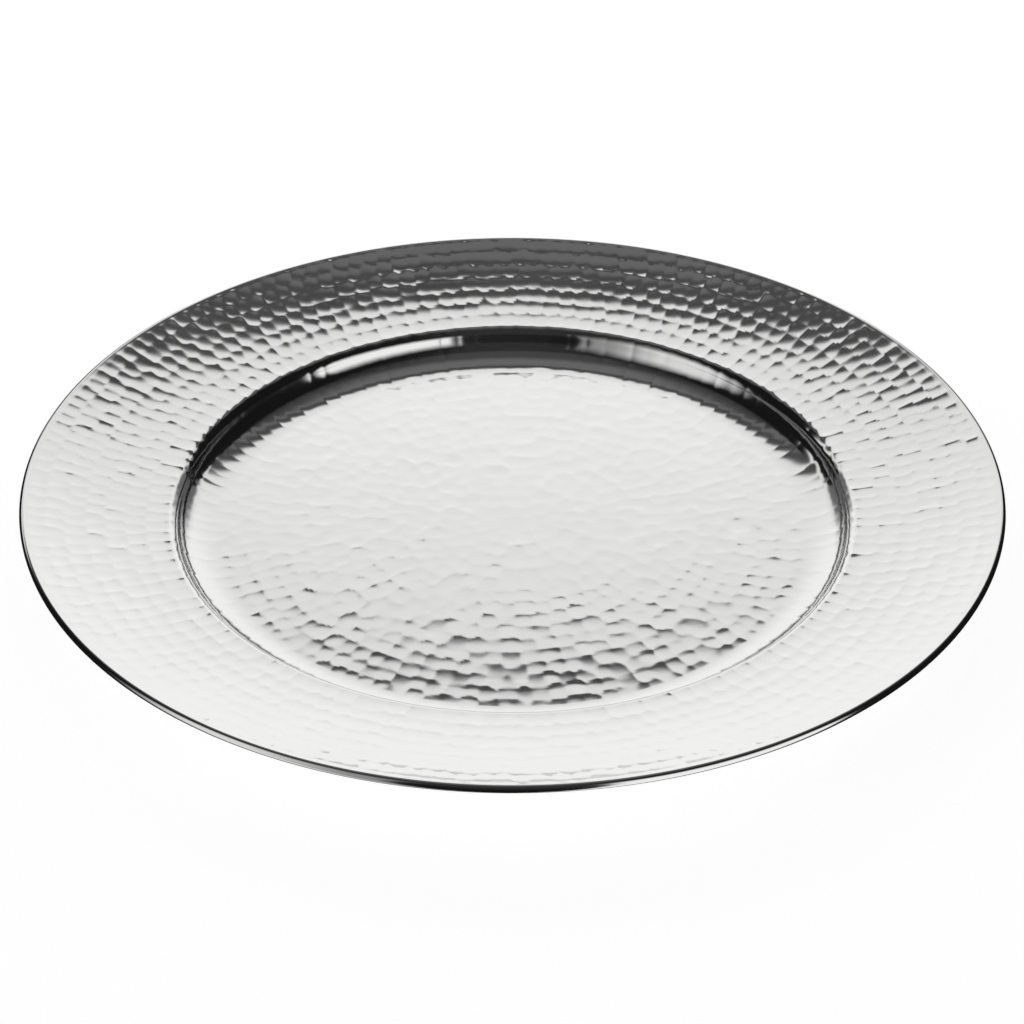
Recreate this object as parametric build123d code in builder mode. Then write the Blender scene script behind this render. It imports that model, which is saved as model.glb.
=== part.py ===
"""Hammered metal plate with a deep well, a wide raised rim and a wired edge.

Units are millimetres. The origin is on the plate's axis at the level that it stands on, and +Z points up.
The plate is one spun sheet. Its rim is rolled over a hoop of round wire, which stiffens the edge.
"""

import os
from math import atan2, cos, degrees, radians, sin, tan

from build123d import *

# Overall
plate_radius = 165.0  # outside of the rolled edge
sheet = 0.7  # thickness of the spun sheet

# Well: a floor that is domed a little, so that the plate stands on the flat ring around it
floor_radius = 99.3  # where the floor turns up into the wall
foot_width = 8.3  # the flat ring that the plate stands on
crown = 0.5  # rise of the floor's middle above that ring
heel_radius = 20.0  # wide bend in which the floor starts to rise
heel_angle = 30.0  # how far that bend turns
bend_radius = 8.0  # tighter bend from there up into the wall
wall_angle = 70.0  # steepness of the wall, from level
well_depth = 9.9  # from the foot ring's upper face to the start of the rim
lip_radius = 4.2  # outside bend between the wall and the rim

# Rim: a hollow curve that gets steeper on its way out
rim_slope_in = 6.0
rim_slope_out = 18.0

# Rolled edge
wire_diameter = 1.2
wire_clearance = 0.02  # between the wire and the sheet rolled over it
curl_angle = 276.0  # how far the sheet turns around the wire
wire_end_gap = 0.5  # between the two ends of the hoop

# Worked out from the values above
foot_radius = floor_radius - foot_width
bead_radius = wire_diameter / 2 + wire_clearance + sheet
bead_centre_radius = plate_radius - bead_radius
heel_rise = heel_radius * (1 - cos(radians(heel_angle)))
heel_run = heel_radius * sin(radians(heel_angle))
bend_rise = bend_radius * (cos(radians(heel_angle)) - cos(radians(wall_angle)))
bend_run = bend_radius * (sin(radians(wall_angle)) - sin(radians(heel_angle)))
lip_rise = lip_radius * (cos(radians(rim_slope_in)) - cos(radians(wall_angle)))
lip_run = lip_radius * (sin(radians(wall_angle)) - sin(radians(rim_slope_in)))
wall_rise = well_depth - heel_rise - bend_rise - lip_rise
wall_run = wall_rise / tan(radians(wall_angle))
rim_start = floor_radius + heel_run + bend_run + wall_run + lip_run
rim_end = bead_centre_radius - bead_radius * sin(radians(rim_slope_out))
rim_curve = (rim_end - rim_start) / (sin(radians(rim_slope_out)) - sin(radians(rim_slope_in)))
rim_rise = rim_curve * (cos(radians(rim_slope_in)) - cos(radians(rim_slope_out)))
bead_height = sheet + well_depth + rim_rise - bead_radius * cos(radians(rim_slope_out))


def sheet_face(depth):
    """One face of the sheet in section, from the axis to the end of the curl, depth below its upper face."""
    level = sheet - depth
    dome = TangentArc((0, level + crown), (foot_radius, level), tangent=(1, 0))
    foot = Line(dome @ 1, (floor_radius, level))
    heel = JernArc(foot @ 1, foot % 1, heel_radius + depth, heel_angle)
    bend = JernArc(heel @ 1, heel % 1, bend_radius + depth, wall_angle - heel_angle)
    wall = Line(bend @ 1, bend @ 1 + Vector(wall_run, wall_rise))
    lip = JernArc(wall @ 1, wall % 1, lip_radius - depth, rim_slope_in - wall_angle)
    rim = JernArc(lip @ 1, lip % 1, rim_curve + depth, rim_slope_out - rim_slope_in)
    curl = JernArc(rim @ 1, rim % 1, bead_radius - depth, -curl_angle)
    return dome @ 0, curl @ 1


# The sheet: floor, wall, rim and curl in one piece
with BuildPart() as plate:
    with BuildSketch(Plane.XZ):
        with BuildLine():
            upper_middle, upper_end = sheet_face(0)
            lower_middle, lower_end = sheet_face(sheet)
            Line(upper_middle, lower_middle)
            Line(upper_end, lower_end)
        make_face()
    revolve(axis=Axis.Z)
plate.part.label = "plate"

# The wire: a hoop inside the curl, cut to length and butted at the back of the plate
with BuildPart() as edge_wire:
    half_gap = degrees(atan2(wire_end_gap / 2, bead_centre_radius))
    with BuildSketch(Plane.XZ.rotated((0, 0, 90 + half_gap))):
        with Locations((bead_centre_radius, bead_height)):
            Circle(wire_diameter / 2)
    revolve(axis=Axis.Z, revolution_arc=360 - 2 * half_gap)
edge_wire.part.label = "edge_wire"

os.makedirs("parts", exist_ok=True)
for piece in (plate, edge_wire):
    export_step(piece.part, f"parts/{piece.part.label}.step")
    print(piece.part.label, piece.part.bounding_box())
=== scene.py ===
"""Hammered metal offering plate on a white table, inside a photographer's light tent.

The plate is one sheet: a domed floor, a steep wall, a raised rim and an edge rolled over a wire. Its
section repeats the CAD model's, and the hammer marks are pressed into it ring by ring.
"""

from math import asin, cos, pi, radians, sin, tan

import bpy
import numpy as np
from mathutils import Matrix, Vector


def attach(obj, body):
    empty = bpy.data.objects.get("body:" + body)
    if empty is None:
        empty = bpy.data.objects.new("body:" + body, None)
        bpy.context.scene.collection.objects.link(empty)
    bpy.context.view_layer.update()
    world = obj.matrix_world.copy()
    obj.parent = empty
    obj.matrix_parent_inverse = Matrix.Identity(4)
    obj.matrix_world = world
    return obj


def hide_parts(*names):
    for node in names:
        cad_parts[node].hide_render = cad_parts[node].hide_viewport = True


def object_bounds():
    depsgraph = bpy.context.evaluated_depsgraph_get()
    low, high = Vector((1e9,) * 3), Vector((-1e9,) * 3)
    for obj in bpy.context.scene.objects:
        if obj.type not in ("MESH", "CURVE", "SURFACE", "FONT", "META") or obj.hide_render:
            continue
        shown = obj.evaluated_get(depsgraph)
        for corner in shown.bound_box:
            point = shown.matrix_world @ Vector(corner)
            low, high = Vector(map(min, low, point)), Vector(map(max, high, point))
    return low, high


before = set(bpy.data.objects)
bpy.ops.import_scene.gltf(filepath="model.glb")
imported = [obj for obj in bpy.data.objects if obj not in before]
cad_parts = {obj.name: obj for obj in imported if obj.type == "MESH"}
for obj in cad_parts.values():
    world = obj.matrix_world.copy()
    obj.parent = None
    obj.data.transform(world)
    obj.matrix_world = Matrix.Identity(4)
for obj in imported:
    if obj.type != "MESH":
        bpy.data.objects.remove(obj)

cad_low, cad_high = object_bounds()
MM = 0.001

# The sheet in section, in millimetres and degrees, as in the CAD model
PLATE_RADIUS = cad_high.x / MM
SHEET = 0.7
FLOOR_RADIUS = 99.3
FOOT_WIDTH = 8.3
CROWN = 0.5
HEEL_RADIUS = 20.0
HEEL_ANGLE = radians(30)
BEND_RADIUS = 8.0
WALL_ANGLE = radians(70)
WELL_DEPTH = 9.9
LIP_RADIUS = 4.2
RIM_SLOPE_IN = radians(6)
RIM_SLOPE_OUT = radians(18)
BEAD_RADIUS = 1.32
CURL_ANGLE = radians(276)

# Hammer marks, in millimetres
RING_PITCH = 6.505  # from one ring of marks on the floor to the next
FIRST_RING = 8.46  # radius of the ring around the middle mark
FLOOR_RINGS = 16  # the last one lies in the heel
RIM_RINGS = 7
MARK_WIDTH = 5.75  # along a ring
MARK_RADIUS = 3.3
FLOOR_DEPTH = 0.074  # of a mark at its radius
MIDDLE_SHARE = 0.72  # of that depth at the floor's middle, and what each millimetre outward adds
DEEPENING = 0.0028
WALL_DEPTH = 0.065
RIM_DEPTH = 0.105
FLOOR_LEAN = 0.014  # spread of the marks' slopes, as each blow falls a little askew
WALL_LEAN = 0.012
RIM_LEAN = 0.008
LEAN_AROUND = 0.7  # their lean along the ring, as a share of that across it
DEPTH_SPREAD = 0.15  # spread of the marks' depths, as a share
DEPTH_LIMITS = (0.5, 1.6)
LIFT = 0.012  # the most that a mark stands proud of its neighbours
SPACING_SPREAD = 0.09  # spread of the marks' places along their ring, as a share of a step
OFFSET_SPREAD = 0.18  # spread of their places across it
WAVE_SIZE = 0.08  # spread of each wave in a ring's line
WAVE_COUNTS = (2, 3, 5, 8)  # waves in one turn
ROUNDNESS = 0.55  # 1 for an evenly curved mark, 0 for one with a flat middle and a steep edge
OUTWARD = 0.3  # share of the curve left on a mark's outer side, which the next ring's marks cut away
WALL_REACH = 6.0  # the wall's flutes are this much taller than wide
RIDGE_SOFTNESS = 0.028  # how much the ridges between marks are rounded
FLUTE_SOFTNESS = 0.018  # the same between the wall's flutes
EDGE_TRACE = 0.04  # share of a mark's depth that still shows on the rolled edge
BACK_SHARE = 0.7  # share of a mark's depth that shows on the underside
RIM_MARGIN = 0.5  # left unmarked at the rim's outer end
FLOOR_FADE = (-1.0, 5.0)  # where the floor's marks fade out, from the heel's start
RIM_FADE = (-2.5, 0.8)  # where the rim's marks fade in, from the rim's start
EDGE_FADE = (-2.2, -0.3)  # where they fade out again, from the curl's start
SEED = 7

# Mesh: longest step around the plate and along the sheet, in millimetres
STEP = 1.08
BACK_STEP = 2.2
BEND_STEP = radians(7)  # turn of the sheet from one row to the next
FEWEST_STEPS = 15  # round a row
MOST_STEPS = 960
SMOOTH_STEPS = 480  # the most round the wall, the curl and the underside
SMOOTH_WALL = (8, -1)  # where that holds for the wall, from the heel's and from the rim's start


# ---------------------------------------------------------------- the sheet in section

dome_curve = ((FLOOR_RADIUS - FOOT_WIDTH) ** 2 + CROWN**2) / (2 * CROWN)
wall_rise = (
    WELL_DEPTH
    - HEEL_RADIUS * (1 - cos(HEEL_ANGLE))
    - BEND_RADIUS * (cos(HEEL_ANGLE) - cos(WALL_ANGLE))
    - LIP_RADIUS * (cos(RIM_SLOPE_IN) - cos(WALL_ANGLE))
)
rim_start = (
    FLOOR_RADIUS
    + HEEL_RADIUS * sin(HEEL_ANGLE)
    + BEND_RADIUS * (sin(WALL_ANGLE) - sin(HEEL_ANGLE))
    + wall_rise / tan(WALL_ANGLE)
    + LIP_RADIUS * (sin(WALL_ANGLE) - sin(RIM_SLOPE_IN))
)
rim_end = PLATE_RADIUS - BEAD_RADIUS * (1 + sin(RIM_SLOPE_OUT))
rim_curve = (rim_end - rim_start) / (sin(RIM_SLOPE_OUT) - sin(RIM_SLOPE_IN))

# Stretches of the upper face from the axis out: length, slope at its start and bend (1 / radius)
STRETCHES = {
    "dome": (dome_curve * asin((FLOOR_RADIUS - FOOT_WIDTH) / dome_curve), 0, -1 / dome_curve),
    "foot": (FOOT_WIDTH, 0, 0),
    "heel": (HEEL_RADIUS * HEEL_ANGLE, 0, 1 / HEEL_RADIUS),
    "bend": (BEND_RADIUS * (WALL_ANGLE - HEEL_ANGLE), HEEL_ANGLE, 1 / BEND_RADIUS),
    "wall": (wall_rise / sin(WALL_ANGLE), WALL_ANGLE, 0),
    "lip": (LIP_RADIUS * (WALL_ANGLE - RIM_SLOPE_IN), WALL_ANGLE, -1 / LIP_RADIUS),
    "rim": (rim_curve * (RIM_SLOPE_OUT - RIM_SLOPE_IN), RIM_SLOPE_IN, 1 / rim_curve),
    "curl": (BEAD_RADIUS * CURL_ANGLE, RIM_SLOPE_OUT, -1 / BEAD_RADIUS),
}


def stretch_start(name):
    """Distance along the upper face from the axis to the start of a stretch."""
    names = list(STRETCHES)
    return sum(STRETCHES[each][0] for each in names[: names.index(name)])


def section(s):
    """Point (radius, height) and slope of the upper face, at distance s along it from the axis."""
    point, slope = Vector((0, SHEET + CROWN)), 0
    for length, slope, bend in STRETCHES.values():
        t = min(s, length)
        end = slope + bend * t
        if bend:
            point += Vector((sin(end) - sin(slope), cos(slope) - cos(end))) / bend
        else:
            point += Vector((cos(slope), sin(slope))) * t
        s -= t
        if s <= 0:
            break
    return point, end


# ---------------------------------------------------------------- hammer marks


class Ring:
    """One ring of hammer marks, round the axis at distance s along the sheet."""

    def __init__(self, rng, s, depth, tilt, reach=1.0):
        self.s, self.radius, self.reach = s, section(s)[0].x, reach
        self.marks = max(1, round(2 * pi * self.radius / MARK_WIDTH))
        step = 2 * pi / self.marks
        self.start = rng.uniform(0, step)
        spaced = np.arange(self.marks) + rng.normal(0, SPACING_SPREAD, self.marks)
        self.angle = self.start + step * spaced
        waves = sum(
            rng.normal(0, WAVE_SIZE) * np.sin(count * self.angle + rng.uniform(0, 2 * pi))
            for count in WAVE_COUNTS
        )
        self.along = s + waves + rng.normal(0, OFFSET_SPREAD, self.marks)
        self.lift = rng.uniform(0, LIFT, self.marks)
        self.depth = depth * np.clip(rng.normal(1, DEPTH_SPREAD, self.marks), *DEPTH_LIMITS)
        self.lean_along = rng.normal(0, tilt, self.marks)
        self.lean_around = rng.normal(0, LEAN_AROUND * tilt, self.marks)

    def bowls(self, s, radius, angle):
        """Height and slopes, along and around, of the nearest marks at points round the sheet."""
        near = np.round((angle - self.start) / (2 * pi / self.marks)).astype(int)
        for offset in (-1, 0, 1) if self.marks > 1 else (0,):
            mark = (near + offset) % self.marks
            turn = angle - self.angle[mark]
            along = (s - self.along[mark]) / self.reach
            half = np.sin(turn / 2)
            around = 2 * half * np.sqrt(radius * self.radius)
            q = (along**2 + around**2) / MARK_RADIUS**2
            curve = ROUNDNESS * q + (1 - ROUNDNESS) * q**2
            growth = (ROUNDNESS + 2 * (1 - ROUNDNESS) * q) / MARK_RADIUS**2
            t = np.clip(along / RING_PITCH, 0, 1)
            flat = 1 - (1 - OUTWARD) * t * t * (3 - 2 * t)
            flattening = -(1 - OUTWARD) * 6 * t * (1 - t) / RING_PITCH
            depth = self.depth[mark]
            lean_along, lean_around = self.lean_along[mark], self.lean_around[mark]
            height = depth * curve * flat + self.lift[mark] + lean_along * along + lean_around * around
            slope_in_along = 2 * along / self.reach + 4 * self.radius * half**2
            slope_along = depth * (growth * slope_in_along * flat + curve * flattening / self.reach)
            slope_around = depth * growth * flat * 2 * self.radius * np.sin(turn)
            yield height, slope_along + lean_along / self.reach, slope_around + lean_around


def make_rings():
    """The rings of marks on the floor and the rim, and the flutes that they leave on the wall."""
    rng = np.random.default_rng(SEED)
    floor = [0.0] + [FIRST_RING + RING_PITCH * k for k in range(FLOOR_RINGS)]
    heel, rim = stretch_start("heel"), stretch_start("rim")
    rim_pitch = (STRETCHES["rim"][0] - RIM_MARGIN) / RIM_RINGS
    rings = [Ring(rng, s, FLOOR_DEPTH * (MIDDLE_SHARE + DEEPENING * s), FLOOR_LEAN) for s in floor]
    rings += [Ring(rng, rim + rim_pitch * (k + 0.5), RIM_DEPTH, RIM_LEAN) for k in range(RIM_RINGS + 1)]
    flutes = Ring(rng, (heel + rim) / 2, WALL_DEPTH, WALL_LEAN, WALL_REACH)
    return rings, flutes


def smooth_step(x, low, high):
    """0 below low, 1 above high, an even curve between, and its slope."""
    t = min(max((x - low) / (high - low), 0), 1)
    return t * t * (3 - 2 * t), 6 * t * (1 - t) / (high - low)


def mark_shares(s):
    """Shares of the marks and of the flutes at distance s along the sheet, each with how fast it changes."""
    heel, rim, curl = (stretch_start(name) for name in ("heel", "rim", "curl"))
    floor_end, floor_slope = smooth_step(s - heel, *FLOOR_FADE)
    rim_begin, rim_slope = smooth_step(s - rim, *RIM_FADE)
    edge, edge_slope = smooth_step(s - curl, *EDGE_FADE)
    flutes = (floor_end - rim_begin, floor_slope - rim_slope)
    marks = (1 - flutes[0] - (1 - EDGE_TRACE) * edge, -flutes[1] - (1 - EDGE_TRACE) * edge_slope)
    return marks, flutes


def softly_lowest(bowls, softness):
    """The lowest of several bowls at each point, with rounded ridges between them, and its slopes."""
    height, along, around = (np.array(part) for part in zip(*bowls))
    lowest = height.min(axis=0)
    weight = np.exp((lowest - height) / softness)
    total = weight.sum(axis=0)
    height = lowest - softness * np.log(total)
    return height, (weight * along).sum(axis=0) / total, (weight * around).sum(axis=0) / total


def hammered(rings, flutes, s, radius, angle):
    """Height of the hammered face above the smooth one round a row, and its slopes along and around."""
    nearest = sorted(rings, key=lambda ring: abs(ring.s - s))[:3]
    layers = (
        softly_lowest([bowl for ring in nearest for bowl in ring.bowls(s, radius, angle)], RIDGE_SOFTNESS),
        softly_lowest(list(flutes.bowls(s, radius, angle)), FLUTE_SOFTNESS),
    )
    total = np.zeros((3, len(angle)))
    for (share, change), (height, along, around) in zip(mark_shares(s), layers):
        total += np.array([share * height, share * along + change * height, share * around])
    return total


# ---------------------------------------------------------------- mesh

UP = np.array([0, 0, 1.0])


def steps_around(radius, step):
    """Number of steps round a row: the fewest, doubled until they are under step or the most allowed."""
    count = FEWEST_STEPS
    while 2 * pi * radius / count > step and count < MOST_STEPS:
        count *= 2
    return count


def face_rows(step, bend_step):
    """Distances along the sheet of a face's rows, close enough for its length and its bends."""
    rows, start = [], 0
    for length, _, bend in STRETCHES.values():
        count = max(1, int(np.ceil(max(length / step, abs(bend) * length / bend_step))))
        rows += [start + length * k / count for k in range(count)]
        start += length
    return rows[1:] + [start]


def around_row(count):
    """Angles round a row, and the directions out from the axis at them."""
    angle = 2 * pi * np.arange(count) / count
    return angle, np.stack([np.cos(angle), np.sin(angle), 0 * angle], axis=1)


def sheet_row(rings, flutes, s, back, count):
    """Points and normals round one row of the sheet's upper face, or of its back."""
    point, slope = section(s)
    angle, out = around_row(count)
    height, along, around = hammered(rings, flutes, s, point.x, angle)
    share = BACK_SHARE if back else 1
    offset = share * height - (SHEET if back else 0)
    radius = point.x - sin(slope) * offset
    z = point.y + cos(slope) * offset
    aside = np.stack([-np.sin(angle), np.cos(angle), 0 * angle], axis=1)
    points = out * radius[:, None] + UP * z[:, None]
    normals = (
        UP * cos(slope)
        - out * sin(slope)
        - (out * cos(slope) + UP * sin(slope)) * (share * along)[:, None]
        - aside * (share * around)[:, None]
    )
    normals /= np.linalg.norm(normals, axis=1)[:, None]
    return points, -normals if back else normals


def end_rows(s, count):
    """The rounded cut edge at the end of the curl, from the upper face to the back."""
    point, slope = section(s)
    _, out = around_row(count)
    middle = point + Vector((sin(slope), -cos(slope))) * SHEET / 2
    for turn in (radians(45), radians(90), radians(135)):
        r = -sin(slope) * cos(turn) + cos(slope) * sin(turn)
        z = cos(slope) * cos(turn) + sin(slope) * sin(turn)
        points = out * (middle.x + r * SHEET / 2) + UP * (middle.y + z * SHEET / 2)
        yield points, out * r + UP * z


def bridge(first, first_count, second, second_count):
    """Faces between two rows whose counts are the same or one twice the other."""
    a = first + np.arange(first_count)
    b = second + np.arange(second_count)
    a_next, b_next = np.roll(a, -1), np.roll(b, -1)
    if first_count == second_count:
        return np.stack([a, b, b_next, a_next], axis=1).tolist()
    if second_count == 2 * first_count:
        near, middle, far = b[0::2], b[1::2], np.roll(b, -2)[0::2]
        parts = [(a, near, middle), (a, middle, a_next), (a_next, middle, far)]
    else:
        near, middle, far = a[0::2], a[1::2], np.roll(a, -2)[0::2]
        parts = [(near, b, middle), (middle, b, b_next), (middle, b_next, far)]
    return [face for part in parts for face in np.stack(part, axis=1).tolist()]


def cap(middle, row, count, turned):
    """Faces from a middle point to the row round it."""
    ring = row + np.arange(count)
    pair = (np.roll(ring, -1), ring) if turned else (ring, np.roll(ring, -1))
    return [(middle, int(p), int(q)) for p, q in zip(*pair)]


def mesh_piece(name, points, normals, faces, material):
    """An object with smooth faces and the given normals; points are in millimetres."""
    mesh = bpy.data.meshes.new(name)
    mesh.from_pydata((points * MM).tolist(), [], faces)
    mesh.shade_smooth()
    mesh.normals_split_custom_set_from_vertices(normals.tolist())
    mesh.materials.append(material)
    piece = bpy.data.objects.new(name, mesh)
    bpy.context.scene.collection.objects.link(piece)
    return piece


def hammered_sheet(material):
    """The plate: the upper face out to the end of the curl, round its cut edge and back underneath."""
    rings, flutes = make_rings()
    heel, rim, curl = (stretch_start(name) for name in ("heel", "rim", "curl"))
    upper = face_rows(STEP, BEND_STEP)
    rows = []
    for s in upper:
        on_wall = heel + SMOOTH_WALL[0] < s < rim + SMOOTH_WALL[1]
        limit = SMOOTH_STEPS if on_wall or s > curl else MOST_STEPS
        count = min(limit, steps_around(section(s)[0].x, STEP))
        rows.append(sheet_row(rings, flutes, s, False, count))
    rows += list(end_rows(upper[-1], SMOOTH_STEPS))
    for s in reversed(face_rows(BACK_STEP, 2 * BEND_STEP)):
        count = min(SMOOTH_STEPS, steps_around(section(s)[0].x, BACK_STEP))
        rows.append(sheet_row(rings, flutes, s, True, count))
    points = np.concatenate([[UP * (SHEET + CROWN)], *(row[0] for row in rows), [UP * CROWN]])
    normals = np.concatenate([[UP], *(row[1] for row in rows), [-UP]])
    counts = [len(row[0]) for row in rows]
    starts = [1 + sum(counts[:k]) for k in range(len(counts))]
    faces = cap(0, starts[0], counts[0], False)
    for k in range(len(rows) - 1):
        faces += bridge(starts[k], counts[k], starts[k + 1], counts[k + 1])
    faces += cap(len(points) - 1, starts[-1], counts[-1], True)
    return mesh_piece("hammered_plate", points, normals, faces, material)


# ---------------------------------------------------------------- materials


def new_material(name):
    """A node material with every node cleared from its tree, and its tree."""
    material = bpy.data.materials.new(name)
    material.use_nodes = True
    tree = material.node_tree
    tree.nodes.clear()
    return material, tree


def node(tree, kind, inputs=(), **settings):
    """A new node with its settings, and its inputs linked or set, by name."""
    made = tree.nodes.new(kind)
    for key, value in settings.items():
        setattr(made, key, value)
    for key, value in dict(inputs).items():
        if isinstance(value, bpy.types.NodeSocket):
            tree.links.new(value, made.inputs[key])
        else:
            made.inputs[key].default_value = value
    return made


def maths(tree, operation, *values):
    """A Math node's result."""
    return node(tree, "ShaderNodeMath", dict(enumerate(values)), operation=operation).outputs[0]


def noise(tree, place, scale, detail):
    """A noise texture's value at a place."""
    return node(
        tree, "ShaderNodeTexNoise", {"Vector": place, "Scale": scale, "Detail": detail}
    ).outputs["Fac"]


def mapped(tree, value, low, high):
    """A value from 0 to 1 stretched to run from low to high."""
    return node(
        tree, "ShaderNodeMapRange", {"Value": value, "To Min": low, "To Max": high}
    ).outputs["Result"]


def polished_steel():
    """Mirror-polished stainless steel, a little cloudy, with a faint orange peel."""
    material, tree = new_material("polished_steel")
    place = node(tree, "ShaderNodeTexCoord").outputs["Object"]
    cloud = noise(tree, place, 35.0, 5.0)
    tone = node(tree, "ShaderNodeValToRGB", {"Fac": cloud})
    tone.color_ramp.elements[0].color = (0.635, 0.635, 0.63, 1)
    tone.color_ramp.elements[1].color = (0.675, 0.675, 0.67, 1)
    gloss = mapped(tree, cloud, 0.08, 0.13)
    peel = noise(tree, place, 900.0, 2.0)
    bump = node(tree, "ShaderNodeBump", {"Height": peel, "Strength": 1.0, "Distance": 0.0000025})
    shader = node(
        tree,
        "ShaderNodeBsdfPrincipled",
        {
            "Base Color": tone.outputs["Color"],
            "Metallic": 1.0,
            "Roughness": gloss,
            "Normal": bump.outputs["Normal"],
        },
    )
    node(tree, "ShaderNodeOutputMaterial", {"Surface": shader.outputs[0]})
    return material


def drawn_wire():
    """Dull drawn steel wire with a fine grain."""
    material, tree = new_material("drawn_wire")
    place = node(tree, "ShaderNodeTexCoord").outputs["Object"]
    score = noise(tree, place, 1500.0, 3.0)
    tone = node(tree, "ShaderNodeValToRGB", {"Fac": score})
    tone.color_ramp.elements[0].color = (0.50, 0.50, 0.49, 1)
    tone.color_ramp.elements[1].color = (0.66, 0.66, 0.65, 1)
    gloss = mapped(tree, score, 0.3, 0.42)
    shader = node(
        tree,
        "ShaderNodeBsdfPrincipled",
        {"Base Color": tone.outputs["Color"], "Metallic": 1.0, "Roughness": gloss},
    )
    node(tree, "ShaderNodeOutputMaterial", {"Surface": shader.outputs[0]})
    return material


# ---------------------------------------------------------------- camera

VIEW_ELEVATION = radians(34.55)
VIEW_DISTANCE = 1.144  # metres, as everything from here on
VIEW_LENS = 118.3  # millimetres
AIM_POINT = Vector((-0.00015, 0, 0.0071))


def make_camera():
    """The camera in front of the plate, looking down at it."""
    data = bpy.data.cameras.new("camera")
    data.lens = VIEW_LENS
    camera = bpy.data.objects.new("camera", data)
    bpy.context.scene.collection.objects.link(camera)
    back, up = VIEW_DISTANCE * cos(VIEW_ELEVATION), VIEW_DISTANCE * sin(VIEW_ELEVATION)
    camera.location = (0, -back, up + SHEET * MM)
    aim = AIM_POINT - camera.location
    camera.rotation_mode = "QUATERNION"
    camera.rotation_quaternion = aim.to_track_quat("-Z", "Y")
    bpy.context.scene.camera = camera


# ---------------------------------------------------------------- studio

SET_LIGHT = 1.28  # brightness of the set's whitest parts

# Each edge of a light below: where it starts and ends, and the share of light before and after it

TENT_RADIUS = 2.5
TENT_DARK = 0.008  # share of light where the tent has neither roof nor window

# The tent's roof, by pitch in degrees from behind the plate over it to the camera, and by angle aside
ROOF_PITCH_EDGES = ((68, 80, 0.15, 0.065), (90, 102, 1.0, 0.5), (46, 52, 0.0, 1.0))
ROOF_SIDE_EDGES = ((6, 24, 1.0, 0.38), (22, 38, 1.0, 0.0))
ROOF_FRONT_EDGE = (140, 150, 1.0, 0.5)

# Its windows beside the camera, by azimuth in degrees from behind the plate, and by elevation
RIGHT_WINDOW_EDGES = ((106, 114, 0.0, 1.0), (157, 163, 1.0, 0.0))
RIGHT_WINDOW_TOP = (14, 50, 1.0, 0.0)
LEFT_WINDOW_EDGES = ((-112, -88, 1.0, 0.0), (-150, -120, 0.3, 0.8), (-158, -152, 0.0, 1.0))
LEFT_WINDOW_TOP = (24, 72, 1.0, 0.0)

TABLE_RADIUS = 2.4
TABLE_GAP = 0.0001  # below the plate's foot, whose marks reach a little under it
TABLE_MATT = 0.45
TABLE_GLOW = 0.9

BOARD_DISTANCE = 0.54
BOARD_HALF_WIDTH = 0.46
BOARD_LOW, BOARD_HIGH = -0.6, 0.75
BOARD_SIDE_EDGE = (0.40, BOARD_HALF_WIDTH, 1.0, 0.0)
BOARD_ARCH = 1.0  # how much lower its shading starts aside, per square metre
ARCH_REACH = 0.3  # how far aside it goes on getting lower
LOW_SHADE_EDGE = (0.22, 0.36, 1.0, 0.0)  # by height: a soft shade below, towards both sides
LOW_SHADE_SIDE_EDGE = (0.12, 0.32, 0.0, 0.85)

# A wing that widens the board at its left
WING_END = -0.80
WING_LOW, WING_HIGH = 0.28, 0.52
WING_SIDE_EDGES = ((WING_END, -0.64, 0.0, 1.0), (-0.41, -0.39, 1.0, 0.0))
WING_HEIGHT_EDGES = ((WING_LOW, 0.32, 0.0, 1.0), (0.50, WING_HIGH, 1.0, 0.0))

# Up the board: white with one dark seam, shaded towards the top, then dark cloth
SEAM_TONE = 0.4
SEAM_LOW_EDGE = (0.039, 0.045, 1.0, SEAM_TONE)
SEAM_HIGH_EDGE = (0.060, 0.066, SEAM_TONE, 1.0)
SHADE_EDGE = (0.2, 0.46, 1.0, 0.85)
CLOTH_EDGE = (0.47, 0.54, 1.0, 0.07)
CLOTH_TOP_EDGE = (0.56, 0.76, 0.0, 0.15)


def smooth_edge(tree, value, start, end, low, high):
    """A value that goes smoothly from low before start to high after end."""
    made = node(
        tree,
        "ShaderNodeMapRange",
        {"Value": value, "From Min": start, "From Max": end, "To Min": low, "To Max": high},
        interpolation_type="SMOOTHSTEP",
    )
    return made.outputs["Result"]


def dimmed(tree, light, value, edges):
    """A light times the smooth edges that it has along a value."""
    for edge in edges:
        light = maths(tree, "MULTIPLY", light, smooth_edge(tree, value, *edge))
    return light


def degrees_of(tree, operation, *values):
    """An inverse trigonometric result in degrees."""
    return maths(tree, "MULTIPLY", maths(tree, operation, *values), 180 / pi)


def glowing(tree, light):
    """Ends a material's tree in a plain glow of that strength."""
    shader = node(tree, "ShaderNodeEmission", {"Strength": maths(tree, "MULTIPLY", light, SET_LIGHT)})
    node(tree, "ShaderNodeOutputMaterial", {"Surface": shader.outputs[0]})


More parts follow.
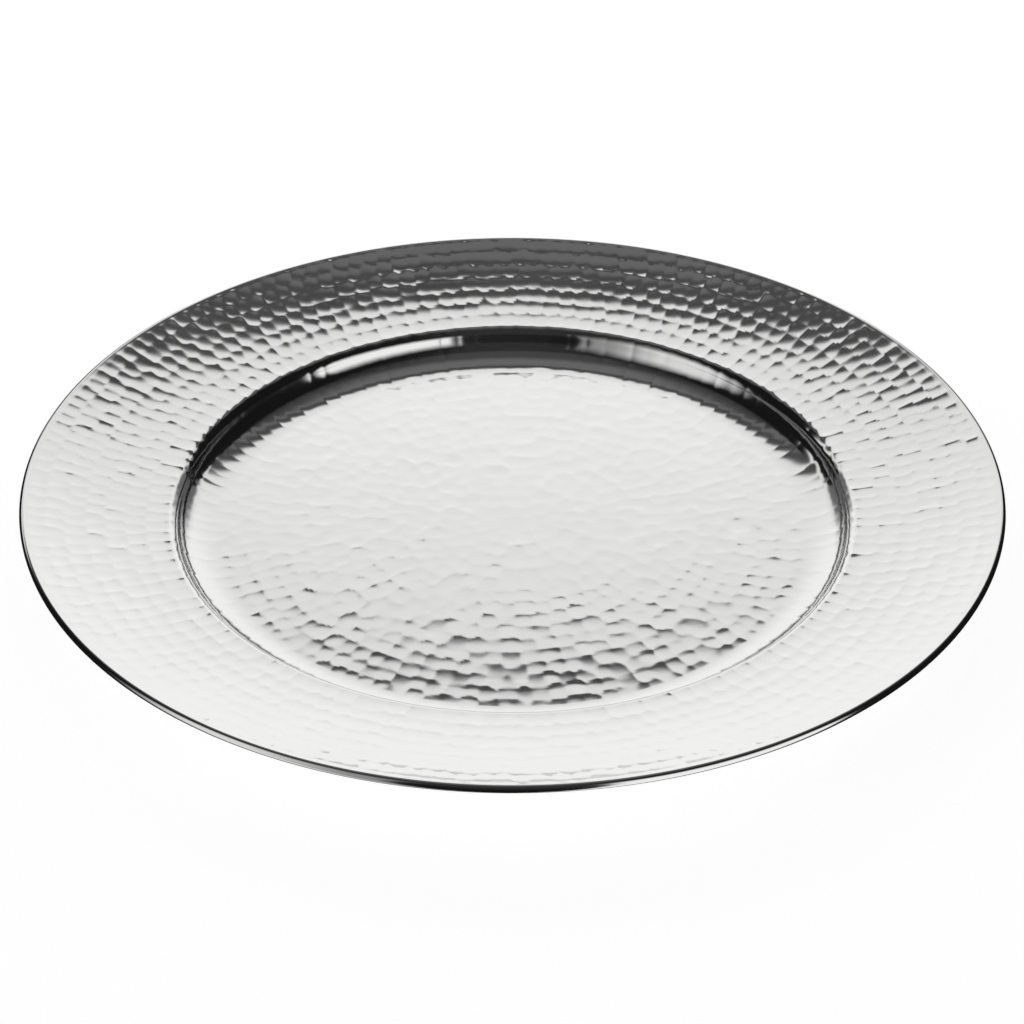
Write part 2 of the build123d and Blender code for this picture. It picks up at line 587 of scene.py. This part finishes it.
def tent_light():
    """The tent's brightness by direction: a grey roof, a tall window on each side, and dark between."""
    material, tree = new_material("tent_light")
    place = node(tree, "ShaderNodeTexCoord").outputs["Object"]
    unit = node(tree, "ShaderNodeVectorMath", {0: place}, operation="NORMALIZE").outputs[0]
    axes = node(tree, "ShaderNodeSeparateXYZ", {"Vector": unit}).outputs
    pitch = degrees_of(tree, "ARCTAN2", axes["Z"], axes["Y"])
    azimuth = degrees_of(tree, "ARCTAN2", axes["X"], axes["Y"])
    elevation = degrees_of(tree, "ARCSINE", axes["Z"])
    aside = maths(tree, "ABSOLUTE", degrees_of(tree, "ARCSINE", axes["X"]))
    roof = dimmed(tree, 1.0, pitch, ROOF_PITCH_EDGES)
    roof = dimmed(tree, roof, aside, ROOF_SIDE_EDGES)
    roof = dimmed(tree, roof, pitch, [ROOF_FRONT_EDGE])
    right = dimmed(tree, 1.0, azimuth, RIGHT_WINDOW_EDGES)
    right = dimmed(tree, right, elevation, [RIGHT_WINDOW_TOP])
    left = dimmed(tree, 1.0, azimuth, LEFT_WINDOW_EDGES)
    left = dimmed(tree, left, elevation, [LEFT_WINDOW_TOP])
    window = maths(tree, "MAXIMUM", left, right)
    glowing(tree, maths(tree, "MAXIMUM", maths(tree, "MAXIMUM", roof, window), TENT_DARK))
    return material


def board_light():
    """The board's brightness up its height, falling off at its sides, and that of its wing."""
    material, tree = new_material("board_light")
    place = node(tree, "ShaderNodeTexCoord").outputs["Object"]
    axes = node(tree, "ShaderNodeSeparateXYZ", {"Vector": place}).outputs
    side = maths(tree, "ABSOLUTE", axes["X"])
    bow = maths(tree, "POWER", maths(tree, "MINIMUM", side, ARCH_REACH), 2.0)
    level = maths(tree, "ADD", axes["Z"], maths(tree, "MULTIPLY", bow, BOARD_ARCH))
    below, above = (smooth_edge(tree, level, *edge) for edge in (SEAM_LOW_EDGE, SEAM_HIGH_EDGE))
    tone = dimmed(tree, maths(tree, "MAXIMUM", below, above), level, (SHADE_EDGE, CLOTH_EDGE))
    tone = maths(tree, "MAXIMUM", tone, smooth_edge(tree, level, *CLOTH_TOP_EDGE))
    wing = dimmed(tree, 1.0, axes["X"], WING_SIDE_EDGES)
    wing = dimmed(tree, wing, axes["Z"], WING_HEIGHT_EDGES)
    spread = maths(tree, "MAXIMUM", smooth_edge(tree, side, *BOARD_SIDE_EDGE), wing)
    shade = smooth_edge(tree, axes["Z"], *LOW_SHADE_EDGE)
    shade = dimmed(tree, shade, side, [LOW_SHADE_SIDE_EDGE])
    spread = maths(tree, "MULTIPLY", spread, maths(tree, "SUBTRACT", 1.0, shade))
    glowing(tree, maths(tree, "MULTIPLY", tone, spread))
    return material


def table_white():
    """Matt white that glows a little, so that it stays white and shows a faint shadow."""
    material, tree = new_material("table_white")
    matt = node(tree, "ShaderNodeBsdfDiffuse", {"Color": (TABLE_MATT, TABLE_MATT, TABLE_MATT, 1)})
    glow = node(tree, "ShaderNodeEmission", {"Strength": TABLE_GLOW})
    both = node(tree, "ShaderNodeAddShader", {0: matt.outputs[0], 1: glow.outputs[0]})
    node(tree, "ShaderNodeOutputMaterial", {"Surface": both.outputs[0]})
    return material


def make_tent():
    """The light tent: a sphere round the whole set, which the camera sees through."""
    bpy.ops.mesh.primitive_uv_sphere_add(segments=96, ring_count=48, radius=TENT_RADIUS)
    tent = bpy.context.object
    tent.name = "tent"
    tent.data.materials.append(tent_light())
    tent.visible_camera = False
    return tent


def make_board():
    """The upright board behind the plate, with its wing, which the camera sees through too."""
    panels = (
        (-BOARD_HALF_WIDTH, BOARD_HALF_WIDTH, BOARD_LOW, BOARD_HIGH),
        (WING_END, -BOARD_HALF_WIDTH, WING_LOW, WING_HIGH),
    )
    corners = [
        (x, BOARD_DISTANCE, z)
        for left, right, low, high in panels
        for x, z in ((left, low), (right, low), (right, high), (left, high))
    ]
    mesh = bpy.data.meshes.new("board")
    mesh.from_pydata(corners, [], [range(4 * k, 4 * k + 4) for k in range(len(panels))])
    mesh.materials.append(board_light())
    board = bpy.data.objects.new("board", mesh)
    bpy.context.scene.collection.objects.link(board)
    board.visible_camera = False
    return board


def make_table():
    """The white table, which the plate doesn't reflect."""
    bpy.ops.mesh.primitive_circle_add(vertices=96, radius=TABLE_RADIUS, fill_type="NGON")
    table = bpy.context.object
    table.name = "table"
    table.location.z = -TABLE_GAP
    table.data.materials.append(table_white())
    table.visible_glossy = False
    return table


def make_room():
    """The white room beyond the table, shown with its plain tones."""
    world = bpy.data.worlds.new("white_room")
    world.use_nodes = True
    world.node_tree.nodes["Background"].inputs["Color"].default_value = (1, 1, 1, 1)
    bpy.context.scene.world = world
    bpy.context.scene.view_settings.view_transform = "Standard"


make_camera()
plate = hammered_sheet(polished_steel())
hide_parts("plate")
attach(plate, "root")
wire_finish = drawn_wire()
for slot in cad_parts["edge_wire"].material_slots:
    slot.material = wire_finish
make_tent()
make_board()
make_table()
make_room()
